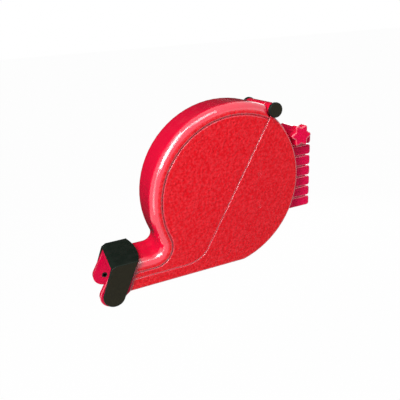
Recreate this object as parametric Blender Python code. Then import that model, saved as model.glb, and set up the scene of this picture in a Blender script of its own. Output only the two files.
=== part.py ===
# Queue ticket dispenser: a snail-shaped housing whose cover swings up on a rear pin to load a ticket roll.
# Metres, +Z up. The mouth points to -X, the mounting rack to +X, and the width runs along Y.
# Sizes are drawn from the centre of the base's round, and the finished part's origin is on the rack's crest.
import math

import bmesh
import bpy
from mathutils import Matrix, Vector

for oldObject in list(bpy.data.objects):
    bpy.data.objects.remove(oldObject)

# Clearances and general values
gap = 0.0003
overrun = 0.0004
arcStepShare = 1 / 72
roundSides = 36
wideSides = 72
saddleSides = 144
smallSides = 16
smoothAngleShare = 0.18

# Roll, core and spindle, which the housing is built round
rollCentre = (0.008, -0.0035)
rollRadius = 0.078
rollHalfWidth = 0.019
coreRadius = 0.014
hubRadius = 0.012
spindleRadius = 0.005

# Base shell
wall = 0.003
sideWall = 0.002
rollRoom = 0.014
sideRoom = 0.005
baseFlat = 0.003
baseEdgeRadius = 0.0016
baseRadius = rollRadius + rollRoom + wall
baseBottom = baseFlat - baseRadius
innerHalfWidth = rollHalfWidth + sideRoom
baseHalfWidth = innerHalfWidth + sideWall
spindleHalfLength = innerHalfWidth - gap * 2

# Front ends of both shells lean back as they rise
lipAhead = 0.0125
stripHeight = 0.013
mouthHeight = 0.0195
spoutAhead = 0.0195
leanRun = 0.012
leanRise = 0.031
leanFoot = (-baseRadius - lipAhead, baseBottom + stripHeight)
spoutTop = leanFoot[1] + mouthHeight
spoutFront = leanFoot[0] - spoutAhead

# Cover shell
coverCentre = (0.0195, -0.0107)
coverGrowth = 0.005
coverProud = 0.0005
coverShoulder = 0.0095
coverInnerShoulder = 0.0045
stepRoom = 0.0023
grooveWidth = 0.0014
grooveDepth = 0.0009
neckRadius = 0.010
coverRadius = baseRadius + coverGrowth
coverHalfWidth = baseHalfWidth + coverProud
coverStepInset = coverShoulder + stepRoom

# Parting line between cover and base
bendShare = 0.2
bendRise = 0.017
bendRun = 0.0089
floorRun = 0.030
partingBend = (-baseRadius * bendShare, leanFoot[1] + bendRise)
partingControl = (partingBend[0] - bendRun, leanFoot[1])
partingFloor = (partingBend[0] - floorRun, leanFoot[1])

# Hinge
hingeAheadShare = 129 / 190
hingeHighShare = 382 / 475
knuckleRadius = 0.0070
coverKnuckleHalf = 0.01385
knuckleGap = 0.0005
pinRadius = 0.0020
pinSink = 0.0017
capProud = 0.0010
capThickness = 0.0042
capEdge = 0.0011
reliefRoom = 0.0006
hingeAxis = (baseRadius * hingeAheadShare, baseRadius * hingeHighShare)
pinHalfLength = baseHalfWidth + gap + capThickness - pinSink
capRadius = knuckleRadius + capProud
coverHingeRelief = capRadius + reliefRoom

# Cradle plates
cradleThickness = 0.002
cradleNose = 0.011
cradleLength = 0.052
cradleRise = 0.0255
cradleDrop = 0.0425
cradleScrewInset = 0.014
cradleFootInset = 0.016
cradleScrewRadius = 0.0015
cradleHeadRadius = 0.0030
cradleHeadThickness = 0.0011
cradleScrewBite = 0.0010
cradleBack = rollCentre[0] + cradleLength
cradleHigh = rollCentre[1] + cradleRise
cradleLow = rollCentre[1] - cradleDrop
cradleScrewX = cradleBack - cradleScrewInset
cradleScrewSpots = (cradleHigh - cradleScrewInset, cradleLow + cradleFootInset)

# Guide roller and its axle
rollerBehind = 0.0375
rollerRadius = 0.005
rollerRoom = 0.0004
rollerOver = 0.001
axleRadius = 0.0015
axleBite = 0.0007
rollerCentre = (leanFoot[0] + rollerBehind, baseBottom + wall + rollerRoom + rollerRadius)
rollerHalfLength = rollHalfWidth + rollerOver
axleHalfLength = innerHalfWidth + axleBite

# Nose with its two cheeks
cheekAhead = 0.0250
cheekThickness = 0.0053
lobeHeight = 0.0005
lobeMargin = 0.0007
noseRoofDrop = 0.0055
noseEdge = 0.0009
tongueLength = 0.0213
tongueRoom = 0.00045
clipLobeRadius = 0.0115
cheekLobe = (leanFoot[0] - cheekAhead, baseBottom + lobeHeight)
cheekLobeRadius = clipLobeRadius + lobeMargin
cheekHalfWidth = coverHalfWidth
cheekInner = cheekHalfWidth - cheekThickness
tongueHalfWidth = innerHalfWidth - gap
tongueBack = leanFoot[0] + tongueLength

# Paper web and lower guide
webThickness = 0.00035
webAhead = 0.0130
guideAhead = 0.0140
guideBehind = 0.0215
guideRoom = 0.0008
guidePlate = 0.0022
pedestalBehind = 0.0185
pedestalInset = 0.0024
webHalfWidth = rollHalfWidth
webLow = rollerCentre[1] + rollerRadius + gap
webFront = leanFoot[0] - webAhead
tongueBottom = webLow + webThickness + tongueRoom
guideFront = leanFoot[0] - guideAhead
guideBack = leanFoot[0] + guideBehind
guideHalfWidth = cheekInner - guideRoom
pedestalFront = leanFoot[0]
pedestalBack = leanFoot[0] + pedestalBehind
pedestalHalfWidth = guideHalfWidth - pedestalInset

# Mouth clip
clipSetback = 0.0022
clipFrontInset = 0.0013
clipLength = 0.029
clipRoof = 0.0028
clipLegThickness = 0.0028
clipChamfer = 0.0048
clipRearBulge = 0.0040
clipEdge = 0.0008
bowInset = 0.00012
clipLobe = (cheekLobe[0] + clipSetback, cheekLobe[1])
clipFront = clipLobe[0] + clipFrontInset
clipRear = clipFront + clipLength
clipHalfWidth = coverHalfWidth + gap + clipLegThickness
reach = clipHalfWidth + overrun

# Eyelets through the lobes
eyeletSetback = 0.0010
eyeletRadius = 0.0029
eyeletWall = 0.0010
eyeletFloor = 0.0014
eyeletSink = 0.0012
eyelet = (cheekLobe[0] + eyeletSetback, cheekLobe[1])
eyeletBore = eyeletRadius - eyeletWall
eyeletInner = cheekInner - gap
eyeletOuter = clipHalfWidth - eyeletSink

# Tear blade
bladeAhead = 0.0165
bladeDepth = 0.0130
bladeThickness = 0.0008
bladeDrop = 0.0046
toothDepth = 0.0016
toothCount = 19
bladeScrewInset = 0.0080
bladeScrewY = 0.0125
smallScrewRadius = 0.0012
smallHeadRadius = 0.0024
smallHeadThickness = 0.0012
smallScrewBite = 0.0034
bladeFront = leanFoot[0] - bladeAhead
bladeBack = bladeFront + bladeDepth
bladeHalfWidth = rollHalfWidth
bladeScrewX = bladeFront + bladeScrewInset

# Brake spring
springThickness = 0.0005
springHalfWidth = 0.0060
springScrewBehind = 0.0145
springTail = 0.0045
springArm = 0.0060
springDrop = 0.0075
springToe = 0.0035
springTipLift = 0.0020
springScrewX = leanFoot[0] + springScrewBehind
springStart = springScrewX + springTail
springBend = springScrewX - springArm
springTouch = springBend - springDrop
springTip = springTouch - springToe

# Mounting rack
ribCount = 7
ribPitch = 0.01285
ribMiddle = -0.0035
rackDepth = 0.0265
ribRootDepth = 0.0150
ribHalfWidth = 0.0135
ribEdge = 0.0031
ribSeam = 0.0009
rackCoreInset = 0.0050
rackCoreSide = 0.0020
saddleGap = 0.0003
rackScrewRibs = 2
rackScrewRadius = 0.0020
rackHeadRadius = 0.0040
rackHeadThickness = 0.0022
rackScrewBite = 0.0150
padRadius = 0.0062
padDepth = 0.0090
ribTip = baseRadius + rackDepth
ribRoot = baseRadius - ribRootDepth
rackCoreTip = ribTip - rackCoreInset
rackCoreHalfWidth = ribHalfWidth - rackCoreSide
rackScrewSpots = (ribMiddle - ribPitch * rackScrewRibs, ribMiddle + ribPitch * rackScrewRibs)
padFace = baseRadius - padDepth

# Clamp lug, bolt and star knob
clampSetback = 0.0195
clampRise = 0.00745
lugRadius = 0.0085
lugProud = 0.0004
boltRadius = 0.0025
boltHeadRadius = 0.0050
boltHeadThickness = 0.0032
knobRadius = 0.0108
knobLobe = 0.0018
knobThickness = 0.0095
knobLobes = 6
knobEdge = 0.0014
knobSteps = 60
insertRadius = 0.0046
insertCap = 0.0022
clampAxis = (ribTip - clampSetback, ribMiddle + ribPitch * (ribCount - 1) / 2 + clampRise)
lugHalfWidth = ribHalfWidth + lugProud


# Materials

def makeMaterial(name, color, roughness, metallic=0.0):
    material = bpy.data.materials.new(name)
    material.use_nodes = True
    shader = material.node_tree.nodes["Principled BSDF"]
    shader.inputs["Base Color"].default_value = (*color, 1.0)
    shader.inputs["Roughness"].default_value = roughness
    shader.inputs["Metallic"].default_value = metallic
    return material


redPlastic = makeMaterial("red_plastic", (0.68, 0.012, 0.035), 0.32)
blackPlastic = makeMaterial("black_plastic", (0.012, 0.013, 0.012), 0.42)
steel = makeMaterial("steel", (0.62, 0.62, 0.64), 0.28, 1.0)
brass = makeMaterial("brass", (0.72, 0.55, 0.28), 0.3, 1.0)
paper = makeMaterial("paper", (0.86, 0.84, 0.78), 0.8)
cardboard = makeMaterial("cardboard", (0.52, 0.38, 0.24), 0.85)
rubber = makeMaterial("rubber", (0.03, 0.03, 0.032), 0.7)
greyPlastic = makeMaterial("grey_plastic", (0.55, 0.56, 0.57), 0.45)


# Mesh helpers

def newObject(name, shape):
    mesh = bpy.data.meshes.new(name)
    bmesh.ops.recalc_face_normals(shape, faces=shape.faces)
    shape.to_mesh(mesh)
    shape.free()
    made = bpy.data.objects.new(name, mesh)
    bpy.context.collection.objects.link(made)
    return made


def prism(name, outline, low, high, edge=0.0, edgeSteps=4):
    # An outline in X and Z, run along Y, with its two rims rounded by the edge radius.
    shape = bmesh.new()
    ring = [shape.verts.new((x, low, z)) for x, z in outline]
    face = shape.faces.new(ring)
    swept = bmesh.ops.extrude_face_region(shape, geom=[face])
    moved = [item for item in swept["geom"] if isinstance(item, bmesh.types.BMVert)]
    bmesh.ops.translate(shape, verts=moved, vec=(0, high - low, 0))
    if edge:
        middle = (low + high) / 2
        rims = [line for line in shape.edges if onOneSide(line, middle)]
        bmesh.ops.bevel(shape, geom=rims, offset=edge, segments=edgeSteps, profile=0.5, affect="EDGES")
    return newObject(name, shape)


def onOneSide(line, middle):
    first, second = line.verts
    return (first.co.y - middle) * (second.co.y - middle) > 0


def block(name, low, high):
    outline = [(low[0], low[2]), (high[0], low[2]), (high[0], high[2]), (low[0], high[2])]
    return prism(name, outline, low[1], high[1])


def rod(name, centre, radius, low, high, sides=roundSides, edge=0.0):
    # A round bar along Y.
    return prism(name, circle(centre, radius, sides), low, high, edge, 3)


def rodAlong(name, start, radius, length, turn, sides=smallSides):
    # A round bar that starts at a point and runs along +Z turned by the given matrix.
    shape = bmesh.new()
    bmesh.ops.create_cone(
        shape, cap_ends=True, segments=sides, radius1=radius, radius2=radius, depth=length,
        matrix=Matrix.Translation((0, 0, length / 2)),
    )
    bmesh.ops.transform(shape, matrix=Matrix.Translation(start) @ turn, verts=shape.verts)
    return newObject(name, shape)


def combine(target, tool, operation):
    modifier = target.modifiers.new("combine", "BOOLEAN")
    modifier.operation = operation
    modifier.solver = "EXACT"
    modifier.object = tool
    bpy.context.view_layer.update()
    settled = target.evaluated_get(bpy.context.evaluated_depsgraph_get())
    result = bpy.data.meshes.new_from_object(settled)
    target.modifiers.clear()
    target.data = result
    bpy.data.objects.remove(tool)
    return target


def cut(target, tool):
    return combine(target, tool, "DIFFERENCE")


def add(target, tool):
    return combine(target, tool, "UNION")


def keep(target, tool):
    return combine(target, tool, "INTERSECT")


def finishEach(name, pieces, material, axis=(0.0, 0.0)):
    # Like pieces, each an object of its own with a number after its name.
    for index, piece in enumerate(pieces):
        piece.name = f"{name}_{index + 1}"
        finish(piece, material, axis)


def finish(made, material, axis=(0.0, 0.0), smooth=True):
    # The origin moves onto the joint axis and the piece to its place from the rack's crest.
    origin = Vector((axis[0], 0, axis[1]))
    made.data.transform(Matrix.Translation(-origin))
    made.location = origin - Vector((ribTip, 0, ribMiddle))
    made.data.materials.clear()
    made.data.materials.append(material)
    for face in made.data.polygons:
        face.use_smooth = smooth
    if smooth:
        made.data.set_sharp_from_angle(angle=math.pi * smoothAngleShare)
    return made


# Outline helpers, all in X and Z

def circle(centre, radius, sides=roundSides):
    return arc(centre, radius, 0, math.tau, sides)[:-1]


def arc(centre, radius, start, end, steps=0):
    steps = steps or max(2, math.ceil(abs(end - start) / (math.tau * arcStepShare)))
    turns = [start + (end - start) * step / steps for step in range(steps + 1)]
    return [(centre[0] + radius * math.cos(turn), centre[1] + radius * math.sin(turn)) for turn in turns]


def hull(points):
    # The convex outline round a set of points.
    ordered = sorted(set(points))
    lower = halfHull(ordered)
    upper = halfHull(reversed(ordered))
    return lower[:-1] + upper[:-1]


def halfHull(points):
    chain = []
    for point in points:
        while len(chain) > 1 and turnOf(chain[-2], chain[-1], point) <= 0:
            chain.pop()
        chain.append(point)
    return chain


def turnOf(first, second, third):
    return (second[0] - first[0]) * (third[1] - first[1]) - (second[1] - first[1]) * (third[0] - first[0])


def shiftPath(path, distance):
    # The path moved sideways, to the left of its own direction.
    shifted = []
    for index, point in enumerate(path):
        before = Vector(path[max(index - 1, 0)])
        after = Vector(path[min(index + 1, len(path) - 1)])
        run = (after - before).normalized()
        shifted.append((point[0] - run.y * distance, point[1] + run.x * distance))
    return shifted


def curve(start, control, end, steps=8):
    points = []
    for step in range(steps + 1):
        share = step / steps
        first = Vector(start).lerp(Vector(control), share)
        second = Vector(control).lerp(Vector(end), share)
        points.append(tuple(first.lerp(second, share)))
    return points


def leanAt(height):
    return leanFoot[0] + (height - leanFoot[1]) * leanRun / leanRise


def neckCentre():
    height = spoutTop + neckRadius
    span = coverRadius + neckRadius
    rise = height - coverCentre[1]
    return (coverCentre[0] - math.sqrt(span ** 2 - rise ** 2), height)


def coverOutline(inset, front):
    # The cover's round, its hollow neck and its spout, drawn in by the inset.
    neck = neckCentre()
    lean = math.atan2(coverCentre[1] - neck[1], coverCentre[0] - neck[0])
    foot = -math.pi / 3
    spout = [(front, spoutTop - inset)]
    bend = arc(neck, neckRadius + inset, -math.pi / 2, lean)
    crown = arc(coverCentre, coverRadius - inset, math.pi + lean, foot)
    floor = coverCentre[1] + (coverRadius - inset) * math.sin(foot)
    return spout + bend + crown[1:] + [(front, floor)]


def baseOutline(inset, front):
    # The base's round, its flat underside and the strip that runs forward under the spout.
    radius = baseRadius - inset
    bottom = baseBottom + inset
    crown = arc((0.0, 0.0), radius, math.tau / 3, math.asin(bottom / radius))
    return crown + [(front, bottom), (front, spoutTop)]


def partingPath():
    bend = curve(partingBend, partingControl, partingFloor)
    return [hingeAxis] + bend + [leanFoot]


def coverRegion():
    path = shiftPath(partingPath(), -gap / 2)
    top = neckCentre()[1]
    far = coverCentre[0] - coverRadius - reach
    high = hingeAxis[1] + reach
    return path + [(leanAt(top), top), (far, top), (far, high), (path[0][0], high)]


def baseRegion():
    path = shiftPath(partingPath(), gap / 2)
    low = baseBottom - reach
    far = baseRadius + reach
    high = hingeAxis[1] + reach
    return path + [(leanAt(low), low), (far, low), (far, high), (path[0][0], high)]


# Shells

def makeBaseShell():
    front = spoutFront
    shell = prism("base_shell", baseOutline(0, front), -baseHalfWidth, baseHalfWidth, baseEdgeRadius, 3)
    keep(shell, prism("region", baseRegion(), -reach, reach))
    cut(shell, prism("hollow", baseOutline(wall, front - reach), -innerHalfWidth, innerHalfWidth))
    inner = coverKnuckleHalf + gap
    cut(shell, rod("relief", hingeAxis, knuckleRadius + knuckleGap, -inner, inner))
    for side in (-1, 1):
        low, high = sorted((side * inner, side * baseHalfWidth))
        add(shell, rod("knuckle", hingeAxis, knuckleRadius, low, high))
    cut(shell, rod("pin_bore", hingeAxis, pinRadius + gap, -reach, reach, smallSides))
    for height in rackScrewSpots:
        pad = rodAlong("pad", (padFace, 0, height), padRadius, baseRadius - wall / 2 - padFace, alongX())
        keepPad = rod("rim", (0.0, 0.0), baseRadius - wall / 2, -reach, reach, wideSides)
        add(shell, keep(pad, keepPad))
    for height in rackScrewSpots:
        start = (padFace - reach, 0, height)
        cut(shell, rodAlong("bore", start, rackScrewRadius + gap, reach * 2, alongX()))
    for height in cradleScrewSpots:
        bite = innerHalfWidth + cradleScrewBite + gap
        cut(shell, rod("bore", (cradleScrewX, height), cradleScrewRadius + gap, -bite, bite, smallSides))
    seat = axleHalfLength + gap
    cut(shell, rod("axle_seat", rollerCentre, axleRadius + gap, -seat, seat, smallSides))
    return finish(shell, redPlastic)


def alongX():
    return Matrix.Rotation(math.pi / 2, 4, "Y")


def makeCoverShell():
    front = spoutFront
    shell = prism(
        "cover_shell", coverOutline(0, front), -coverHalfWidth, coverHalfWidth, coverShoulder, 6,
    )
    keep(shell, prism("region", coverRegion(), -reach, reach))
    cut(shell, prism(
        "hollow", coverOutline(wall, front - reach), -innerHalfWidth, innerHalfWidth, coverInnerShoulder, 4,
    ))
    for side in (-1, 1):
        low, high = sorted((side * baseHalfWidth, side * reach))
        cut(shell, prism("step", coverOutline(coverStepInset, front - reach), low, high))
        cut(shell, faceGroove(front, side))
        low, high = sorted((side * coverKnuckleHalf, side * reach))
        cut(shell, rod("relief", hingeAxis, coverHingeRelief, low, high))
    add(shell, rod("knuckle", hingeAxis, knuckleRadius, -coverKnuckleHalf, coverKnuckleHalf))
    cut(shell, rod("pin_bore", hingeAxis, pinRadius + gap, -reach, reach, smallSides))
    return finish(shell, redPlastic, hingeAxis)


def faceGroove(front, side):
    # A shallow groove just inside the step, which sets the flat face off from the shoulder.
    low, high = sorted((side * (baseHalfWidth - grooveDepth), side * reach))
    groove = prism("groove", coverOutline(coverStepInset, front - reach), low, high)
    middle = coverOutline(coverStepInset + grooveWidth, front - reach * 2)
    return cut(groove, prism("middle", middle, -reach * 2, reach * 2))


# Hinge

def makeHinge():
    finish(rod("hinge_pin", hingeAxis, pinRadius, -pinHalfLength, pinHalfLength, smallSides), steel)
    for name, side in (("hinge_cap_near", -1), ("hinge_cap_far", 1)):
        inner = baseHalfWidth + gap
        low, high = sorted((side * inner, side * (inner + capThickness)))
        cap = rod(name, hingeAxis, capRadius, low, high, roundSides, capEdge)
        seat = pinHalfLength + gap
        cut(cap, rod("seat", hingeAxis, pinRadius + gap, -seat, seat, smallSides))
        finish(cap, blackPlastic)


# Roll

def tube(name, centre, outer, inner, half, sides=roundSides):
    made = rod(name, centre, outer, -half, half, sides)
    return cut(made, rod("bore", centre, inner, -half * 2, half * 2, sides))


def makeRoll():
    spindle = rod("spindle", rollCentre, spindleRadius, -spindleHalfLength, spindleHalfLength)
    finish(spindle, steel)
    hub = tube("roll_hub", rollCentre, hubRadius, spindleRadius + gap, rollHalfWidth)
    finish(hub, greyPlastic, rollCentre)
    core = tube("roll_core", rollCentre, coreRadius, hubRadius + gap, rollHalfWidth)
    finish(core, cardboard, rollCentre)
    roll = tube("ticket_roll", rollCentre, rollRadius, coreRadius + gap, rollHalfWidth, wideSides)
    finish(roll, paper, rollCentre)


# Cradle plates that carry the spindle in open slots

def makeCradles():
    for name, side in (("cradle_near", -1), ("cradle_far", 1)):
        outer = innerHalfWidth - gap
        low, high = sorted((side * (outer - cradleThickness), side * outer))
        nose = circle(rollCentre, cradleNose)
        plate = prism(name, hull(nose + [(cradleBack, cradleHigh), (cradleBack, cradleLow)]), low, high)
        cut(plate, prism("slot", slotOutline(), -reach, reach))
        for height in cradleScrewSpots:
            spot = (cradleScrewX, height)
            cut(plate, rod("bore", spot, cradleScrewRadius + gap, -reach, reach, smallSides))
        finish(plate, greyPlastic)
    finishEach("cradle_screw", cradleScrews(), steel)


def slotOutline():
    # The slot opens up and forward, so the spindle lifts out with the cover raised.
    width = spindleRadius + gap
    lean = math.tau / 3
    bottom = arc(rollCentre, width, lean + math.pi / 2, lean + math.pi * 3 / 2, smallSides)
    run = Vector((math.cos(lean), math.sin(lean))) * cradleNose * 2
    return bottom + [tuple(Vector(bottom[-1]) + run), tuple(Vector(bottom[0]) + run)]


def cradleScrews():
    made = []
    for side in (-1, 1):
        head = innerHalfWidth - gap * 2 - cradleThickness
        for height in cradleScrewSpots:
            spot = (cradleScrewX, height)
            low, high = sorted((side * (head - cradleHeadThickness), side * head))
            screw = rod("screw", spot, cradleHeadRadius, low, high, smallSides)
            tip = innerHalfWidth + cradleScrewBite
            low, high = sorted((side * (head - cradleHeadThickness / 2), side * tip))
            made.append(add(screw, rod("shank", spot, cradleScrewRadius, low, high, smallSides)))
    return made


# Paper path

def makePaperPath():
    finish(rod("guide_axle", rollerCentre, axleRadius, -axleHalfLength, axleHalfLength, smallSides), steel)
    roller = tube("guide_roller", rollerCentre, rollerRadius, axleRadius + gap, rollerHalfLength)
    finish(roller, rubber, rollerCentre)
    middle = webPath()
    outline = shiftPath(middle, webThickness / 2) + shiftPath(middle, -webThickness / 2)[::-1]
    finish(prism("ticket_web", outline, -webHalfWidth, webHalfWidth), paper)
    top = webLow - gap
    guide = block(
        "lower_guide", (guideFront, -guideHalfWidth, top - guidePlate), (guideBack, guideHalfWidth, top),
    )
    floor = baseBottom + wall + gap
    foot = block(
        "foot",
        (pedestalFront, -pedestalHalfWidth, floor),
        (pedestalBack, pedestalHalfWidth, top - guidePlate / 2),
    )
    finish(add(guide, foot), redPlastic, smooth=False)


def webPath():
    # The paper leaves the roll's underside and passes over the guide roller to the mouth.
    rollReach = rollRadius + gap + webThickness / 2
    rollerReach = rollerRadius + gap + webThickness / 2
    run = Vector(rollerCentre) - Vector(rollCentre)
    heading = math.atan2(run.y, run.x) + math.acos((rollReach + rollerReach) / run.length)
    side = Vector((math.cos(heading), math.sin(heading)))
    start = Vector(rollCentre) + side * rollReach
    over = Vector(rollerCentre) - side * rollerReach
    top = (rollerCentre[0], rollerCentre[1] + rollerReach)
    return [tuple(start), tuple(over), top, (webFront, top[1])]


# Nose, mouth clip and eyelets

def makeNose():
    rear = [(leanAt(spoutTop) - gap, spoutTop), (leanAt(cheekLobe[1]) - gap, cheekLobe[1])]
    side = hull(rear + [(spoutFront, spoutTop)] + circle(cheekLobe, cheekLobeRadius))
    nose = prism("mouth_nose", side, -cheekHalfWidth, cheekHalfWidth, noseEdge, 2)
    top = spoutTop - wall - gap
    front = leanAt(spoutTop) - wall - coverInnerShoulder
    foot = tongueBottom - coverInnerShoulder
    outline = [(front, foot), (tongueBack, foot), (tongueBack, top), (front, top)]
    tongue = prism("tongue", outline, -tongueHalfWidth, tongueHalfWidth, coverInnerShoulder)
    back = tongueBack + reach
    cut(tongue, block("foot", (front - reach, -reach, foot - reach), (back, reach, tongueBottom)))
    add(nose, tongue)
    roof = spoutTop - noseRoofDrop
    low = cheekLobe[1] - reach
    cut(nose, block("channel", (spoutFront - reach, -cheekInner, low), (back, cheekInner, roof)))
    cut(nose, rod("eyelet_bore", eyelet, eyeletRadius + gap, -reach, reach, smallSides))
    for spot in bladeSpots():
        cut(nose, screwBore(spot))
    cut(nose, screwBore((springScrewX, 0)))
    return finish(nose, redPlastic, hingeAxis)


def bladeSpots():
    return [(bladeScrewX, -bladeScrewY), (bladeScrewX, bladeScrewY)]


def screwBiteAt(spot):
    # A screw behind the mouth's edge stops below the cover's own wall.
    if spot[0] > leanAt(spoutTop):
        return min(smallScrewBite, noseRoofDrop - wall - gap * 2)
    return smallScrewBite


def screwBore(spot):
    low = spoutTop - noseRoofDrop - reach
    length = reach + screwBiteAt(spot) + gap
    return rodAlong("bore", (*spot, low), smallScrewRadius + gap, length, Matrix.Identity(4))


def roofScrew(spot, seat):
    top = spoutTop - noseRoofDrop + screwBiteAt(spot)
    head = seat - gap - smallHeadThickness
    screw = rodAlong("head", (*spot, head), smallHeadRadius, smallHeadThickness, Matrix.Identity(4))
    start = head + smallHeadThickness / 2
    shank = rodAlong("shank", (*spot, start), smallScrewRadius, top - start, Matrix.Identity(4))
    return add(screw, shank)


def makeClip():
    under = spoutTop + gap
    top = under + clipRoof
    outer = clipHalfWidth
    crown = [(clipRear, top), (clipFront + clipChamfer, top), (clipFront, top - clipRoof)]
    side = hull(crown + circle(clipLobe, clipLobeRadius))
    clip = prism("mouth_clip", side, -outer, outer, clipEdge, 2)
    low = clipLobe[1] - reach
    back = clipRear + reach
    front = clipFront - reach
    inner = coverHalfWidth + gap
    cut(clip, block("channel", (front, -inner, low), (back, inner, under)))
    add(clip, rearBow(outer - clipEdge * 2, under + bowInset, top - bowInset))
    seat = eyeletOuter + gap
    cut(clip, rod("eyelet_seat", eyelet, eyeletRadius + gap, -seat, seat, smallSides))
    return finish(clip, blackPlastic, hingeAxis)


def rearBow(half, low, high):
    # The roof's rear edge bows back between its two corners.
    radius = (half ** 2 + clipRearBulge ** 2) / (2 * clipRearBulge)
    centre = clipRear + clipRearBulge - radius
    bow = rodAlong("bow", (centre, 0, low), radius, high - low, Matrix.Identity(4), saddleSides)
    limit = block(
        "bow_limit", (clipRear - clipChamfer, -half, low - reach), (clipRear + reach, half, high + reach),
    )
    return keep(bow, limit)


def makeEyelets():
    for name, side in (("eyelet_near", -1), ("eyelet_far", 1)):
        low, high = sorted((side * eyeletInner, side * eyeletOuter))
        ring = rod(name, eyelet, eyeletRadius, low, high, smallSides)
        low, high = sorted((0, side * (eyeletOuter - eyeletFloor)))
        cut(ring, rod("bore", eyelet, eyeletBore, low, high, smallSides))
        finish(ring, steel, hingeAxis)


# Tear blade and brake spring

def makeBlade():
    roof = spoutTop - noseRoofDrop - gap
    blade = block(
        "tear_blade",
        (bladeFront, -bladeHalfWidth, roof - bladeThickness),
        (bladeBack, bladeHalfWidth, roof),
    )
    shape = bmesh.new()
    ring = [shape.verts.new((bladeFront, y, z)) for y, z in toothLine(roof)]
    face = shape.faces.new(ring)
    swept = bmesh.ops.extrude_face_region(shape, geom=[face])
    moved = [item for item in swept["geom"] if isinstance(item, bmesh.types.BMVert)]
    bmesh.ops.translate(shape, verts=moved, vec=(bladeThickness, 0, 0))
    add(blade, newObject("teeth", shape))
    for spot in bladeSpots():
        start = (*spot, roof - reach)
        cut(blade, rodAlong("bore", start, smallScrewRadius + gap, reach * 2, Matrix.Identity(4)))
    finish(blade, steel, hingeAxis, smooth=False)
    screws = [roofScrew(spot, roof - bladeThickness) for spot in bladeSpots()]
    finishEach("blade_screw", screws, steel, hingeAxis)


def toothLine(roof):
    points = [(-bladeHalfWidth, roof - bladeThickness / 2), (bladeHalfWidth, roof - bladeThickness / 2)]
    steps = toothCount * 2
    for step in range(steps + 1):
        y = bladeHalfWidth - step * bladeHalfWidth * 2 / steps
        tip = toothDepth if step % 2 else 0
        points.append((y, roof - bladeDrop - tip))
    return points


def makeSpring():
    top = spoutTop - noseRoofDrop - gap - springThickness / 2
    low = webLow + webThickness + gap + springThickness / 2
    mid = (top + low) / 2
    bend = (springBend + springTouch) / 2
    path = [(springStart, top)]
    path += curve((springBend + springTipLift, top), (springBend - springTipLift / 2, top), (bend, mid), 5)
    path += curve((bend, mid), (springTouch + springTipLift / 2, low), (springTouch, low), 5)[1:]
    path += [(springTip, low + springTipLift)]
    outline = shiftPath(path, springThickness / 2) + shiftPath(path, -springThickness / 2)[::-1]
    spring = prism("brake_spring", outline, -springHalfWidth, springHalfWidth)
    spot = (springScrewX, 0)
    start = (*spot, top - reach)
    cut(spring, rodAlong("bore", start, smallScrewRadius + gap, reach * 2, Matrix.Identity(4)))
    finish(spring, steel, hingeAxis)
    screw = roofScrew(spot, top - springThickness / 2)
    screw.name = "spring_screw"
    finish(screw, steel, hingeAxis)


# Mounting rack, clamp bolt and star knob

def makeRack():
    low = ribMiddle - ribPitch * (ribCount - 1) / 2
    high = ribMiddle + ribPitch * (ribCount - 1) / 2
    half = ribPitch / 2
    rack = block(
        "mount_rack",
        (ribRoot, -rackCoreHalfWidth, low - half / 2),
        (rackCoreTip, rackCoreHalfWidth, high + half / 2),
    )
    for index in range(ribCount):
        add(rack, makeRib(low + ribPitch * index))
    add(rack, rod("lug", clampAxis, lugRadius, -lugHalfWidth, lugHalfWidth))
    cut(rack, rod("saddle", (0.0, 0.0), baseRadius + saddleGap, -reach, reach, saddleSides))
    cut(rack, rod("bolt_bore", clampAxis, boltRadius + gap, -reach, reach, smallSides))
    for height in rackScrewSpots:
        bore = rodAlong("bore", (padFace, 0, height), rackScrewRadius + gap, rackScrewLength(), alongX())
        cut(rack, bore)
    finish(rack, redPlastic)
    finishEach("rack_screw", [makeRackScrew(height) for height in rackScrewSpots], steel)


def rackScrewLength():
    return baseRadius + rackScrewBite - padFace


def makeRib(height):
    half = (ribPitch - ribSeam) / 2
    tipLow = (ribTip - ribEdge, height - half + ribEdge)
    tipHigh = (ribTip - ribEdge, height + half - ribEdge)
    outline = [(ribRoot, height - half)]
    outline += arc(tipLow, ribEdge, -math.pi / 2, 0, 5)
    outline += arc(tipHigh, ribEdge, 0, math.pi / 2, 5)
    outline += [(ribRoot, height + half)]
    return prism("rib", outline, -ribHalfWidth, ribHalfWidth, ribSeam, 2)


def makeRackScrew(height):
    seat = padFace - gap
    back = (seat - rackHeadThickness, 0, height)
    head = rodAlong("head", back, rackHeadRadius, rackHeadThickness, alongX())
    start = seat - rackHeadThickness / 2
    length = rackScrewLength() - gap + padFace - start
    return add(head, rodAlong("shank", (start, 0, height), rackScrewRadius, length, alongX()))


def makeClamp():
    face = lugHalfWidth + gap
    bolt = rod("clamp_bolt", clampAxis, boltHeadRadius, face, face + boltHeadThickness, 6)
    tip = -face - knobThickness / 2
    add(bolt, rod("shank", clampAxis, boltRadius, tip, face + boltHeadThickness / 2, smallSides))
    finish(bolt, steel)
    end = -face - knobThickness + insertCap
    insert = rod("knob_insert", clampAxis, insertRadius, end, -face, smallSides)
    cut(insert, rod("bore", clampAxis, boltRadius + gap, tip - gap, reach, smallSides))
    knob = prism("star_knob", starOutline(), -face - knobThickness, -face, knobEdge, 3)
    cut(knob, rod("seat", clampAxis, insertRadius + gap, end - gap, reach, smallSides))
    finish(insert, brass, clampAxis)
    finish(knob, redPlastic, clampAxis)


def starOutline():
    points = []
    for step in range(knobSteps):
        turn = math.tau * step / knobSteps
        radius = knobRadius + knobLobe * math.cos(turn * knobLobes)
        points.append((clampAxis[0] + radius * math.cos(turn), clampAxis[1] + radius * math.sin(turn)))
    return points


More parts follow.
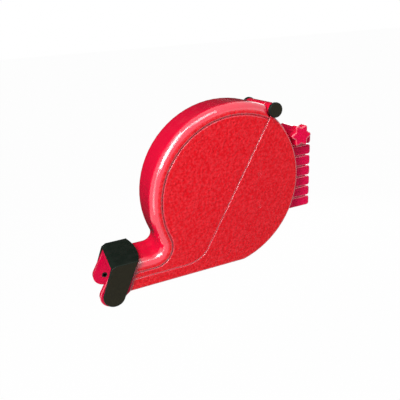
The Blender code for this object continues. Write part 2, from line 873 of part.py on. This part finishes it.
makeBaseShell()
makeCoverShell()
makeHinge()
makeRoll()
makeCradles()
makePaperPath()
makeNose()
makeClip()
makeEyelets()
makeBlade()
makeSpring()
makeRack()
makeClamp()
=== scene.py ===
import math

import bpy
from mathutils import Matrix, Vector


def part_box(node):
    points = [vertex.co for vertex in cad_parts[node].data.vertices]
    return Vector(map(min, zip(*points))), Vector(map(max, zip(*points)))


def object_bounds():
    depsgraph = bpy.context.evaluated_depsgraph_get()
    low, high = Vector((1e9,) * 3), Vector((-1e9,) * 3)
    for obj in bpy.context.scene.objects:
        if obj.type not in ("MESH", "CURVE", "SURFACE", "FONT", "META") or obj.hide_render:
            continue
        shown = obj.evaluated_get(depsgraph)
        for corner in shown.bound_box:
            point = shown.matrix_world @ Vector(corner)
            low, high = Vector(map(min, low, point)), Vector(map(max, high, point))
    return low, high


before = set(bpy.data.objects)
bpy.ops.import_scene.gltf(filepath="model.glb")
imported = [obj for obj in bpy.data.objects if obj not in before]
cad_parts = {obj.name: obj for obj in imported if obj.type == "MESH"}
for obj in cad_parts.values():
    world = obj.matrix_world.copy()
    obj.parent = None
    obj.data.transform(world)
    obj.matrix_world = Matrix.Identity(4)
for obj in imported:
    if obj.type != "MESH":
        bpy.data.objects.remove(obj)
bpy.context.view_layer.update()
print("model loaded:", len(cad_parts), "nodes")


# Node helpers

def addNode(tree, kind, place, **settings):
    made = tree.nodes.new(kind)
    made.location = place
    for name, value in settings.items():
        if name.startswith("in_"):
            made.inputs[name[3:].replace("_", " ")].default_value = value
        else:
            setattr(made, name, value)
    return made


def mathNode(tree, operation, place, first, second=None, clamp=False):
    made = addNode(tree, "ShaderNodeMath", place, operation=operation, use_clamp=clamp)
    for slot, value in enumerate((first, second)):
        if value is None:
            continue
        if isinstance(value, (int, float)):
            made.inputs[slot].default_value = value
        else:
            tree.links.new(value, made.inputs[slot])
    return made.outputs[0]


def rangeNode(tree, place, value, low, high, toLow=0.0, toHigh=1.0):
    made = addNode(tree, "ShaderNodeMapRange", place, interpolation_type="SMOOTHSTEP")
    made.inputs["From Min"].default_value = low
    made.inputs["From Max"].default_value = high
    made.inputs["To Min"].default_value = toLow
    made.inputs["To Max"].default_value = toHigh
    tree.links.new(value, made.inputs["Value"])
    return made.outputs["Result"]


def mixColor(tree, place, amount, first, second, blend="MIX"):
    made = addNode(tree, "ShaderNodeMix", place, data_type="RGBA", blend_type=blend)
    for slot, value in ((0, amount), (6, first), (7, second)):
        if isinstance(value, bpy.types.NodeSocket):
            tree.links.new(value, made.inputs[slot])
        elif slot == 0:
            made.inputs[slot].default_value = value
        else:
            made.inputs[slot].default_value = (*value, 1.0)
    return made.outputs[2]


def newGroup(name, inputs, outputs):
    group = bpy.data.node_groups.new(name, "ShaderNodeTree")
    for label, kind, value in inputs:
        made = group.interface.new_socket(name=label, in_out="INPUT", socket_type=kind)
        if value is not None:
            made.default_value = value
    for label, kind in outputs:
        group.interface.new_socket(name=label, in_out="OUTPUT", socket_type=kind)
    start = addNode(group, "NodeGroupInput", (-900, 0))
    end = addNode(group, "NodeGroupOutput", (700, 0))
    return group, start, end


def placeGroup(tree, group, place, vector, **values):
    made = addNode(tree, "ShaderNodeGroup", place, node_tree=group)
    tree.links.new(vector, made.inputs["Position"])
    for name, value in values.items():
        made.inputs[name].default_value = value
    return made


# Shared effects

def buildMouldGrain():
    # Fine pebbled grain of a textured mould, with slow changes of depth across a face
    group, start, end = newGroup(
        "mouldGrain",
        [("Position", "NodeSocketVector", None), ("Size", "NodeSocketFloat", 1200.0)],
        [("Height", "NodeSocketFloat"), ("Speckle", "NodeSocketFloat")],
    )
    pebbles = addNode(group, "ShaderNodeTexNoise", (-600, 200), in_Detail=3.0, in_Roughness=0.62)
    cells = addNode(group, "ShaderNodeTexVoronoi", (-600, -100), feature="SMOOTH_F1", in_Smoothness=0.6)
    broad = addNode(group, "ShaderNodeTexNoise", (-600, -400), in_Detail=2.0)
    broadSize = mathNode(group, "MULTIPLY", (-780, -400), start.outputs["Size"], 0.06)
    group.links.new(start.outputs["Size"], pebbles.inputs["Scale"])
    group.links.new(start.outputs["Size"], cells.inputs["Scale"])
    group.links.new(broadSize, broad.inputs["Scale"])
    for texture in (pebbles, cells, broad):
        group.links.new(start.outputs["Position"], texture.inputs["Vector"])
    rise = mathNode(group, "SUBTRACT", (-380, -100), 1.0, cells.outputs["Distance"])
    both = mathNode(group, "ADD", (-200, 100), pebbles.outputs["Fac"], rise)
    depth = rangeNode(group, (-380, -400), broad.outputs["Fac"], 0.3, 0.7, 0.75, 1.0)
    height = mathNode(group, "MULTIPLY", (0, 50), both, depth)
    speckle = rangeNode(group, (0, 300), pebbles.outputs["Fac"], 0.34, 0.68)
    group.links.new(height, end.inputs["Height"])
    group.links.new(speckle, end.inputs["Speckle"])
    return group


def buildHandling():
    # Soft smears and hairline scratches left by hands
    group, start, end = newGroup(
        "handling",
        [("Position", "NodeSocketVector", None), ("Size", "NodeSocketFloat", 30.0)],
        [("Smear", "NodeSocketFloat"), ("Scratch", "NodeSocketFloat")],
    )
    smear = addNode(group, "ShaderNodeTexNoise", (-600, 200), in_Detail=4.0, in_Distortion=1.2)
    group.links.new(start.outputs["Size"], smear.inputs["Scale"])
    group.links.new(start.outputs["Position"], smear.inputs["Vector"])
    stretch = addNode(group, "ShaderNodeMapping", (-780, -200))
    stretch.inputs["Rotation"].default_value = (0.3, 0.9, 0.5)
    stretch.inputs["Scale"].default_value = (1.0, 14.0, 22.0)
    group.links.new(start.outputs["Position"], stretch.inputs["Vector"])
    scratch = addNode(group, "ShaderNodeTexNoise", (-600, -200), in_Scale=60.0, in_Detail=2.0)
    group.links.new(stretch.outputs["Vector"], scratch.inputs["Vector"])
    group.links.new(rangeNode(group, (-300, 200), smear.outputs["Fac"], 0.35, 0.7), end.inputs["Smear"])
    group.links.new(rangeNode(group, (-300, -200), scratch.outputs["Fac"], 0.66, 0.74), end.inputs["Scratch"])
    return group


def buildEdgeWear():
    # Rubbed convex edges: where the rounded normal leaves the flat one, broken up by noise
    group, start, end = newGroup(
        "edgeWear",
        [("Position", "NodeSocketVector", None), ("Rounded", "NodeSocketVector", None)],
        [("Mask", "NodeSocketFloat")],
    )
    shape = addNode(group, "ShaderNodeNewGeometry", (-700, 100))
    along = addNode(group, "ShaderNodeVectorMath", (-520, 200), operation="DOT_PRODUCT")
    group.links.new(start.outputs["Rounded"], along.inputs[0])
    group.links.new(shape.outputs["Normal"], along.inputs[1])
    turned = mathNode(group, "SUBTRACT", (-340, 200), 1.0, along.outputs["Value"])
    edge = rangeNode(group, (-160, 200), turned, 0.02, 0.20)
    convex = rangeNode(group, (-340, 0), shape.outputs["Pointiness"], 0.49, 0.52)
    broken = addNode(group, "ShaderNodeTexNoise", (-500, -200), in_Scale=260.0, in_Detail=4.0)
    group.links.new(start.outputs["Position"], broken.inputs["Vector"])
    patch = rangeNode(group, (-320, -200), broken.outputs["Fac"], 0.4, 0.62)
    outer = mathNode(group, "MULTIPLY", (0, 100), edge, convex)
    group.links.new(mathNode(group, "MULTIPLY", (160, 0), outer, patch), end.inputs["Mask"])
    return group


def buildDust():
    # A thin settling of dust on faces that look up
    group, start, end = newGroup(
        "dust",
        [("Position", "NodeSocketVector", None), ("Size", "NodeSocketFloat", 90.0)],
        [("Mask", "NodeSocketFloat")],
    )
    shape = addNode(group, "ShaderNodeNewGeometry", (-700, 100))
    parts = addNode(group, "ShaderNodeSeparateXYZ", (-520, 100))
    group.links.new(shape.outputs["Normal"], parts.inputs["Vector"])
    upward = rangeNode(group, (-340, 100), parts.outputs["Z"], 0.45, 1.0)
    fluff = addNode(group, "ShaderNodeTexNoise", (-520, -150), in_Detail=6.0, in_Roughness=0.7)
    group.links.new(start.outputs["Size"], fluff.inputs["Scale"])
    group.links.new(start.outputs["Position"], fluff.inputs["Vector"])
    loose = rangeNode(group, (-340, -150), fluff.outputs["Fac"], 0.42, 0.75)
    group.links.new(mathNode(group, "MULTIPLY", (-100, 0), upward, loose), end.inputs["Mask"])
    return group


mouldGrain = buildMouldGrain()
handling = buildHandling()
edgeWear = buildEdgeWear()
dust = buildDust()
print("shared effects built")


# Materials

def startMaterial(name, roughness, metallic=0.0):
    material = bpy.data.materials.new(name)
    material.use_nodes = True
    tree = material.node_tree
    shader = tree.nodes["Principled BSDF"]
    shader.location = (900, 0)
    shader.inputs["Roughness"].default_value = roughness
    shader.inputs["Metallic"].default_value = metallic
    place = addNode(tree, "ShaderNodeTexCoord", (-1300, 0))
    return material, tree, shader, place.outputs["Object"]


plasticShading = {
    "faceStart": 0.975,
    "faceFull": 0.998,
    "smearRough": 0.07,
    "grainRough": 0.09,
    "dustRough": 0.6,
    "dustColor": (0.75, 0.72, 0.68),
    "grainDepthShare": 0.35,
}


def plasticMaterial(name, look):
    # Moulded plastic: glossy on its rounded edges, grained on the flat side faces
    material, tree, shader, place = startMaterial(name, look["roughness"])
    shader.inputs["IOR"].default_value = look["ior"]
    shader.inputs["Specular IOR Level"].default_value = look["specular"]
    grain = placeGroup(tree, mouldGrain, (-900, 300), place, Size=1 / look["grainSize"])
    marks = placeGroup(tree, handling, (-900, 0), place, Size=look["smearScale"])
    film = placeGroup(tree, dust, (-900, -400), place)

    rounded = addNode(tree, "ShaderNodeBevel", (-1300, 600), samples=6, in_Radius=look["edgeRound"])
    worn = placeGroup(tree, edgeWear, (-900, -200), place)
    tree.links.new(rounded.outputs["Normal"], worn.inputs["Rounded"])
    parts = addNode(tree, "ShaderNodeSeparateXYZ", (-1120, 600))
    tree.links.new(rounded.outputs["Normal"], parts.inputs["Vector"])
    sideways = mathNode(tree, "ABSOLUTE", (-940, 600), parts.outputs["Y"])
    face = rangeNode(tree, (-760, 600), sideways, plasticShading["faceStart"], plasticShading["faceFull"])

    if look["coat"]:
        glossy = mathNode(tree, "SUBTRACT", (-560, 700), 1.0, face)
        coating = mathNode(tree, "MULTIPLY", (-380, 700), glossy, look["coat"])
        tree.links.new(coating, shader.inputs["Coat Weight"])
        shader.inputs["Coat Roughness"].default_value = look["coatRoughness"]
        shader.inputs["Coat IOR"].default_value = look["coatIor"]
        tree.links.new(rounded.outputs["Normal"], shader.inputs["Coat Normal"])

    deep = mixColor(tree, (-560, 400), grain.outputs["Speckle"], look["faceDeep"], look["faceColor"])
    smearAmount = mathNode(tree, "MULTIPLY", (-560, 100), marks.outputs["Smear"], look["smear"])
    gloss = mixColor(tree, (-380, 100), smearAmount, look["color"], look["smearColor"])
    ground = mixColor(tree, (-200, 300), face, gloss, deep)
    wearAmount = mathNode(tree, "MULTIPLY", (-380, -200), worn.outputs["Mask"], look["wear"])
    rubbed = mixColor(tree, (0, 200), wearAmount, ground, look["wearColor"])
    dustAmount = mathNode(tree, "MULTIPLY", (-200, -400), film.outputs["Mask"], look["dust"])
    settled = mixColor(tree, (200, 150), dustAmount, rubbed, plasticShading["dustColor"])
    tree.links.new(settled, shader.inputs["Base Color"])

    smooth, matt = look["roughness"], look["faceRoughness"]
    sheen = rangeNode(
        tree, (0, -100), marks.outputs["Smear"], 0.0, 1.0, smooth, smooth + plasticShading["smearRough"],
    )
    grainy = rangeNode(
        tree, (0, -350), grain.outputs["Speckle"], 0.0, 1.0, matt, matt + plasticShading["grainRough"],
    )
    spread = addNode(tree, "ShaderNodeMix", (220, -200), data_type="FLOAT")
    tree.links.new(face, spread.inputs[0])
    tree.links.new(sheen, spread.inputs[2])
    tree.links.new(grainy, spread.inputs[3])
    scratchAmount = mathNode(tree, "MULTIPLY", (220, -400), marks.outputs["Scratch"], look["scratch"])
    dusty = mathNode(tree, "MULTIPLY", (220, -550), dustAmount, plasticShading["dustRough"])
    rougher = mathNode(tree, "ADD", (420, -200), spread.outputs[0], scratchAmount)
    tree.links.new(mathNode(tree, "ADD", (600, -200), rougher, dusty, clamp=True), shader.inputs["Roughness"])

    strength = rangeNode(tree, (220, -900), face, 0.0, 1.0, look["glossBump"], look["faceBump"])
    height = mathNode(tree, "MULTIPLY", (420, -750), grain.outputs["Height"], strength)
    grainDepth = look["grainSize"] * plasticShading["grainDepthShare"]
    bump = addNode(tree, "ShaderNodeBump", (600, -600), in_Distance=grainDepth)
    tree.links.new(height, bump.inputs["Height"])
    tree.links.new(rounded.outputs["Normal"], bump.inputs["Normal"])
    tree.links.new(bump.outputs["Normal"], shader.inputs["Normal"])
    return material


metalShading = {
    "markSize": 120.0,
    "edgeShare": 0.5,
    "lineSmooth": 0.07,
    "lineRough": 0.1,
    "bumpStrength": 0.25,
    "bumpDepth": 0.00005,
}


def metalMaterial(name, look):
    # Turned or rolled metal: fine lines round the part or along it, and a little darkening
    material, tree, shader, place = startMaterial(name, look["roughness"], 1.0)
    stretch = addNode(tree, "ShaderNodeMapping", (-1100, 200))
    stretch.inputs["Scale"].default_value = look["lines"]
    tree.links.new(place, stretch.inputs["Vector"])
    lines = addNode(tree, "ShaderNodeTexNoise", (-900, 200), in_Scale=1.0, in_Detail=3.0)
    tree.links.new(stretch.outputs["Vector"], lines.inputs["Vector"])
    marks = placeGroup(tree, handling, (-900, -100), place, Size=metalShading["markSize"])
    rounded = addNode(tree, "ShaderNodeBevel", (-1100, -350), samples=4, in_Radius=look["edgeRound"])
    worn = placeGroup(tree, edgeWear, (-900, -350), place)
    tree.links.new(rounded.outputs["Normal"], worn.inputs["Rounded"])
    dulled = mathNode(tree, "MULTIPLY", (-600, -100), marks.outputs["Smear"], look["tarnish"])
    ground = mixColor(tree, (-400, 100), dulled, look["color"], look["tarnishColor"])
    bright = mathNode(tree, "MULTIPLY", (-600, -350), worn.outputs["Mask"], metalShading["edgeShare"])
    finished = mixColor(tree, (-200, 100), bright, ground, look["edgeColor"])
    tree.links.new(finished, shader.inputs["Base Color"])
    smooth = look["roughness"] - metalShading["lineSmooth"]
    rough = look["roughness"] + metalShading["lineRough"]
    brushed = rangeNode(tree, (-400, -150), lines.outputs["Fac"], 0.3, 0.7, smooth, rough)
    tree.links.new(brushed, shader.inputs["Roughness"])
    bump = addNode(
        tree, "ShaderNodeBump", (0, -400),
        in_Strength=metalShading["bumpStrength"], in_Distance=metalShading["bumpDepth"],
    )
    tree.links.new(lines.outputs["Fac"], bump.inputs["Height"])
    tree.links.new(rounded.outputs["Normal"], bump.inputs["Normal"])
    tree.links.new(bump.outputs["Normal"], shader.inputs["Normal"])
    return material


def middleOf(name):
    low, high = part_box(name)
    return (low + high) / 2


paperShading = {
    "fibreSize": 1800.0,
    "cloudSize": 40.0,
    "turnNoise": 900.0,
    "turnRise": 2.0,
    "fibreRough": 0.06,
    "bumpStrength": 0.35,
    "bumpDepth": 0.00008,
}


def paperMaterial(name, look, centre):
    # Paper: turns of the roll on its side faces, with soft fibres
    material, tree, shader, place = startMaterial(name, look["roughness"])
    fibre = addNode(
        tree, "ShaderNodeTexNoise", (-900, 300),
        in_Scale=paperShading["fibreSize"], in_Detail=5.0, in_Roughness=0.7,
    )
    cloud = addNode(
        tree, "ShaderNodeTexNoise", (-900, 50), in_Scale=paperShading["cloudSize"], in_Detail=2.0,
    )
    for texture in (fibre, cloud):
        tree.links.new(place, texture.inputs["Vector"])
    fromCentre = addNode(tree, "ShaderNodeVectorMath", (-1100, -200), operation="SUBTRACT")
    tree.links.new(place, fromCentre.inputs[0])
    fromCentre.inputs[1].default_value = centre
    flat = addNode(tree, "ShaderNodeVectorMath", (-920, -200), operation="MULTIPLY")
    tree.links.new(fromCentre.outputs[0], flat.inputs[0])
    flat.inputs[1].default_value = (1.0, 0.0, 1.0)
    away = addNode(tree, "ShaderNodeVectorMath", (-740, -200), operation="LENGTH")
    tree.links.new(flat.outputs[0], away.inputs[0])
    turn = mathNode(tree, "MULTIPLY", (-560, -200), away.outputs["Value"], math.tau / look["turnPitch"])
    wave = mathNode(tree, "SINE", (-400, -200), turn)
    uneven = addNode(
        tree, "ShaderNodeTexNoise", (-560, -400),
        noise_dimensions="1D", in_Scale=paperShading["turnNoise"], in_Detail=3.0,
    )
    tree.links.new(away.outputs["Value"], uneven.inputs["W"])
    turns = rangeNode(tree, (-400, -50), wave, -1.0, 0.6)
    lines = mathNode(tree, "MULTIPLY", (-240, -250), turns, uneven.outputs["Fac"])
    base = mixColor(tree, (-200, 200), cloud.outputs["Fac"], look["color"], look["cloudColor"])
    lined = mathNode(tree, "MULTIPLY", (-80, -250), lines, look["turnDepth"])
    inked = mixColor(tree, (100, 150), lined, base, look["turnColor"])
    tree.links.new(inked, shader.inputs["Base Color"])
    smooth = look["roughness"] - paperShading["fibreRough"]
    rough = look["roughness"] + paperShading["fibreRough"]
    felted = rangeNode(tree, (100, -100), fibre.outputs["Fac"], 0.3, 0.7, smooth, rough)
    tree.links.new(felted, shader.inputs["Roughness"])
    raised = mathNode(tree, "MULTIPLY", (-80, -450), lines, paperShading["turnRise"])
    both = mathNode(tree, "ADD", (100, -350), raised, fibre.outputs["Fac"])
    bump = addNode(
        tree, "ShaderNodeBump", (400, -350),
        in_Strength=paperShading["bumpStrength"], in_Distance=paperShading["bumpDepth"],
    )
    tree.links.new(both, bump.inputs["Height"])
    tree.links.new(bump.outputs["Normal"], shader.inputs["Normal"])
    return material


def dress(material, *names):
    for name in names:
        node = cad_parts[name]
        node.data.materials.clear()
        node.data.materials.append(material)
        for part in node.data.polygons:
            part.material_index = 0


# Red housing, cover and base

housingLook = {
    "color": (0.64, 0.0006, 0.030),
    "faceColor": (0.69, 0.020, 0.030),
    "faceDeep": (0.61, 0.0015, 0.008),
    "smearColor": (0.66, 0.002, 0.030),
    "coat": 1.0,
    "coatIor": 1.9,
    "coatRoughness": 0.16,
    "wearColor": (0.80, 0.045, 0.070),
    "edgeRound": 0.0020,
    "roughness": 0.17,
    "faceRoughness": 0.40,
    "ior": 1.5,
    "specular": 0.15,
    "grainSize": 0.0028,
    "glossBump": 0.02,
    "faceBump": 0.55,
    "smearScale": 26.0,
    "smear": 0.35,
    "scratch": 0.10,
    "wear": 0.25,
    "dust": 0.02,
}

dress(plasticMaterial("redHousing", housingLook), "base_shell", "cover_shell")

# Red nose, knob, rack and guide, smooth from the mould
noseLook = dict(
    housingLook, color=(0.56, 0.0004, 0.040), faceColor=(0.58, 0.0006, 0.042), faceDeep=(0.55, 0.0004, 0.038),
    faceRoughness=0.22, faceBump=0.05, edgeRound=0.0007, specular=0.10,
)
# The rack's red is lighter than the housing's: painted light, making up for the housing's shadow falling on
# it. Its pinker tone is its own.
rackLightenedLook = dict(
    housingLook, color=(0.78, 0.001, 0.066), faceColor=(0.82, 0.002, 0.076), faceDeep=(0.76, 0.001, 0.064),
    faceRoughness=0.27, faceBump=0.08, edgeRound=0.0008, specular=0.10,
)
knobLook = dict(rackLightenedLook, color=(0.66, 0.001, 0.040), faceColor=(0.68, 0.001, 0.044), roughness=0.24)
guideLook = dict(noseLook, roughness=0.28, scratch=0.25)

dress(plasticMaterial("redNose", noseLook), "mouth_nose")
# The rack's material carries painted light in its lighter base colour.
dress(plasticMaterial("redRackPaintedLight", rackLightenedLook), "mount_rack")
dress(plasticMaterial("redKnob", knobLook), "star_knob")
dress(plasticMaterial("redGuide", guideLook), "lower_guide")

# Black clip and hinge caps
clipLook = {
    "color": (0.005, 0.010, 0.007),
    "faceColor": (0.018, 0.016, 0.008),
    "faceDeep": (0.010, 0.009, 0.005),
    "smearColor": (0.009, 0.013, 0.010),
    "wearColor": (0.06, 0.055, 0.045),
    "edgeRound": 0.0006,
    "coat": 0.0,
    "roughness": 0.27,
    "faceRoughness": 0.42,
    "ior": 1.5,
    "specular": 0.11,
    "grainSize": 0.0007,
    "glossBump": 0.02,
    "faceBump": 0.30,
    "smearScale": 60.0,
    "smear": 0.4,
    "scratch": 0.06,
    "wear": 0.5,
    "dust": 0.006,
}
capLook = dict(clipLook, roughness=0.36, faceRoughness=0.44, grainSize=0.0005)

dress(plasticMaterial("blackClip", clipLook), "mouth_clip")
dress(plasticMaterial("blackCap", capLook), "hinge_cap_near", "hinge_cap_far")

# Grey cradle plates and hub
cradleLook = dict(
    clipLook, color=(0.50, 0.51, 0.52), faceColor=(0.52, 0.53, 0.54), faceDeep=(0.46, 0.47, 0.48),
    smearColor=(0.44, 0.45, 0.46), wearColor=(0.66, 0.66, 0.66),
)
hubLook = dict(cradleLook, color=(0.58, 0.58, 0.57), faceColor=(0.60, 0.60, 0.59), roughness=0.35)

dress(plasticMaterial("greyCradle", cradleLook), "cradle_near", "cradle_far")
dress(plasticMaterial("greyHub", hubLook), "roll_hub")

# Rubber guide roller
rollerLook = dict(
    clipLook, color=(0.030, 0.030, 0.031), faceColor=(0.034, 0.034, 0.035),
    roughness=0.68, faceRoughness=0.72, grainSize=0.0004, glossBump=0.5, faceBump=0.5, dust=0.25,
)

dress(plasticMaterial("rollerRubber", rollerLook), "guide_roller")

# Metals
pinLook = {
    "color": (0.62, 0.62, 0.63),
    "tarnishColor": (0.38, 0.37, 0.36),
    "edgeColor": (0.80, 0.80, 0.80),
    "roughness": 0.26,
    "tarnish": 0.35,
    "edgeRound": 0.0003,
    "lines": (600.0, 4200.0, 600.0),
}
bladeLook = dict(pinLook, lines=(500.0, 60.0, 4000.0), roughness=0.30)
springLook = dict(pinLook, color=(0.58, 0.59, 0.61), lines=(60.0, 3800.0, 900.0), roughness=0.24)
screwLook = dict(pinLook, color=(0.60, 0.60, 0.58), lines=(2600.0, 2600.0, 2600.0), tarnish=0.5)
# The eyelets are near-black: painted shade, so the hole they line reads dark like a deep hole in shadow.
eyeletHoleShadeLook = dict(
    pinLook, color=(0.035, 0.030, 0.028), tarnishColor=(0.020, 0.018, 0.016), edgeColor=(0.20, 0.17, 0.16),
    lines=(1400.0, 5200.0, 1400.0), roughness=0.42,
)
insertLook = {
    "color": (0.74, 0.52, 0.22),
    "tarnishColor": (0.42, 0.29, 0.13),
    "edgeColor": (0.88, 0.70, 0.38),
    "roughness": 0.28,
    "tarnish": 0.4,
    "edgeRound": 0.0003,
    "lines": (900.0, 5000.0, 900.0),
}
screwNames = [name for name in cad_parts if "screw" in name]

dress(metalMaterial("pinSteel", pinLook), "hinge_pin", "spindle", "guide_axle", "clamp_bolt")
dress(metalMaterial("bladeSteel", bladeLook), "tear_blade")
dress(metalMaterial("springSteel", springLook), "brake_spring")
dress(metalMaterial("screwZinc", screwLook), *screwNames)
# The eyelets' near-black finish is painted shade for the hole.
dress(metalMaterial("eyeletPaintedHoleShade", eyeletHoleShadeLook), "eyelet_near", "eyelet_far")
dress(metalMaterial("insertBrass", insertLook), "knob_insert")

# Paper roll, strip and core
rollLook = {
    "color": (0.86, 0.85, 0.80),
    "cloudColor": (0.80, 0.79, 0.74),
    "turnColor": (0.50, 0.48, 0.43),
    "roughness": 0.78,
    "turnPitch": 0.0006,
    "turnDepth": 0.8,
}
webLook = dict(rollLook, turnDepth=0.05)
coreLook = dict(
    rollLook, color=(0.46, 0.33, 0.21), cloudColor=(0.38, 0.27, 0.17), turnColor=(0.26, 0.18, 0.11),
    turnPitch=0.0005,
)
rollMiddle = middleOf("ticket_roll")

dress(paperMaterial("rollPaper", rollLook, rollMiddle), "ticket_roll")
dress(paperMaterial("stripPaper", webLook, rollMiddle), "ticket_web")
dress(paperMaterial("coreBoard", coreLook, middleOf("roll_core")), "roll_core")

print("finishes assigned")


# Floor and surroundings

studio = {
    "floorDrop": 0.50,
    "floorSize": 45.0,
    "floorColor": (0.90, 0.90, 0.90),
    "speckColor": (0.92, 0.92, 0.92),
    "speckSize": 3.0,
    "floorShow": 0.98,
    "roomColor": (1.0, 1.0, 1.0),
    "roomStrength": 0.16,
}


def seenByEye(tree, place):
    # One where the camera, a reflection or a view through glass meets the surface
    path = addNode(tree, "ShaderNodeLightPath", place)
    camera, glossy = path.outputs["Is Camera Ray"], path.outputs["Is Glossy Ray"]
    first = mathNode(tree, "ADD", (place[0] + 200, place[1]), camera, glossy)
    glass = path.outputs["Is Transmission Ray"]
    return mathNode(tree, "ADD", (place[0] + 400, place[1]), first, glass, clamp=True)


def makeFloor():
    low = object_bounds()[0][2] - studio["floorDrop"]
    size = studio["floorSize"]
    mesh = bpy.data.meshes.new("floor")
    corners = [(-size, -size, low), (size, -size, low), (size, size, low), (-size, size, low)]
    mesh.from_pydata(corners, [], [(0, 1, 2, 3)])
    floor = bpy.data.objects.new("floor", mesh)
    bpy.context.collection.objects.link(floor)
    material = bpy.data.materials.new("paleFloor")
    material.use_nodes = True
    tree = material.node_tree
    output = tree.nodes["Material Output"]
    tree.nodes.remove(tree.nodes["Principled BSDF"])
    matte = addNode(tree, "ShaderNodeBsdfDiffuse", (0, 0))
    speck = addNode(tree, "ShaderNodeTexNoise", (-400, 0), in_Scale=studio["speckSize"])
    pale = mixColor(tree, (-200, 0), speck.outputs["Fac"], studio["floorColor"], studio["speckColor"])
    tree.links.new(pale, matte.inputs["Color"])
    glow = addNode(tree, "ShaderNodeEmission", (0, -200))
    mix = addNode(tree, "ShaderNodeMixShader", (200, 0))
    shown = mathNode(tree, "MULTIPLY", (0, 250), seenByEye(tree, (-700, 300)), studio["floorShow"])
    tree.links.new(shown, mix.inputs[0])
    tree.links.new(matte.outputs[0], mix.inputs[1])
    tree.links.new(glow.outputs[0], mix.inputs[2])
    tree.links.new(mix.outputs[0], output.inputs["Surface"])
    mesh.materials.append(material)


def makeRoom():
    world = bpy.data.worlds.new("paleRoom")
    bpy.context.scene.world = world
    world.use_nodes = True
    tree = world.node_tree
    ground = tree.nodes["Background"]
    ground.inputs["Color"].default_value = (*studio["roomColor"], 1.0)
    ground.inputs["Strength"].default_value = studio["roomStrength"]
    shown = addNode(tree, "ShaderNodeBackground", (0, -200))
    shown.inputs["Color"].default_value = (1.0, 1.0, 1.0, 1.0)
    shown.inputs["Strength"].default_value = 1.0
    mix = addNode(tree, "ShaderNodeMixShader", (300, 0))
    tree.links.new(seenByEye(tree, (-700, 200)), mix.inputs[0])
    tree.links.new(ground.outputs[0], mix.inputs[1])
    tree.links.new(shown.outputs[0], mix.inputs[2])
    tree.links.new(mix.outputs[0], tree.nodes["World Output"].inputs["Surface"])


makeFloor()
makeRoom()


# Lamps: each has its place from the middle of the round housing, its size and its power

lamps = {
    "leftStrip": {"away": (-1.02, -0.50, -0.02), "size": (0.20, 0.80), "power": 1.7},
    "shoulderStrip": {"away": (-0.76, -0.48, 0.68), "size": (0.46, 0.84), "power": 19.0},
    "topStrip": {"away": (-0.18, -0.50, 0.98), "size": (0.70, 0.24), "power": 3.4},
    "frontFill": {"away": (0.80, -1.25, 0.30), "size": (1.00, 1.00), "power": 1.6},
    "rearFill": {"away": (0.95, 1.20, 0.10), "size": (0.90, 0.90), "power": 7.0},
}


roundShare = 0.54  # of the base's height, from its rear end to the middle of its round


def middleOfRound():
    low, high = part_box("base_shell")
    return Vector((high[0] - (high[2] - low[2]) * roundShare, 0.0, (low[2] + high[2]) / 2))


roundMiddle = middleOfRound()


# A dark card behind the housing keeps its rim deep in colour, out of the camera's sight
cardLook = {
    "left": -1.60,
    "right": 0.60,
    "low": -0.62,
    "high": 1.40,
    "back": 0.80,
    "color": (0.03, 0.002, 0.004),
}


def makeCard():
    back = roundMiddle.y + cardLook["back"]
    left, right = roundMiddle.x + cardLook["left"], roundMiddle.x + cardLook["right"]
    bottom, top = roundMiddle.z + cardLook["low"], roundMiddle.z + cardLook["high"]
    mesh = bpy.data.meshes.new("darkCard")
    corners = [(left, back, bottom), (right, back, bottom), (right, back, top), (left, back, top)]
    mesh.from_pydata(corners, [], [(0, 1, 2, 3)])
    card = bpy.data.objects.new("darkCard", mesh)
    bpy.context.collection.objects.link(card)
    card.visible_camera = False
    card.visible_shadow = False
    material = bpy.data.materials.new("darkCard")
    material.use_nodes = True
    shader = material.node_tree.nodes["Principled BSDF"]
    shader.inputs["Base Color"].default_value = (*cardLook["color"], 1.0)
    shader.inputs["Roughness"].default_value = 1.0
    mesh.materials.append(material)


def makeLamp(name, look):
    light = bpy.data.lights.new(name, "AREA")
    light.shape = "RECTANGLE"
    light.size, light.size_y = look["size"]
    light.energy = look["power"]
    lamp = bpy.data.objects.new(name, light)
    lamp.location = roundMiddle + Vector(look["away"])
    lamp.rotation_euler = (roundMiddle - lamp.location).to_track_quat("-Z", "Y").to_euler()
    bpy.context.collection.objects.link(lamp)


makeCard()
for name, look in lamps.items():
    makeLamp(name, look)
print("floor, room and lamps placed")


# Camera, from the photograph's viewpoint

cameraLook = {
    "place": (-0.2929, -0.4019, 0.1571),
    "turn": 21.096,
    "down": 21.638,
    "roll": -4.324,
    "lens": 37.06,
    "sensor": 36.0,
}


def makeCamera():
    turn, down, roll = (math.radians(cameraLook[key]) for key in ("turn", "down", "roll"))
    back = Vector((-math.sin(turn) * math.cos(down), -math.cos(turn) * math.cos(down), math.sin(down)))
    right = Vector((math.cos(turn), -math.sin(turn), 0.0))
    up = back.cross(right)
    across = right * math.cos(roll) + up * math.sin(roll)
    upward = up * math.cos(roll) - right * math.sin(roll)
    camera = bpy.data.objects.new("camera", bpy.data.cameras.new("camera"))
    camera.data.lens = cameraLook["lens"]
    camera.data.sensor_width = cameraLook["sensor"]
    camera.data.clip_start = 0.01
    axes = Matrix((across, upward, back)).transposed().to_4x4()
    camera.matrix_world = Matrix.Translation(cameraLook["place"]) @ axes
    bpy.context.collection.objects.link(camera)
    bpy.context.scene.camera = camera


makeCamera()
bpy.context.scene.view_settings.view_transform = "Standard"
print("camera placed")
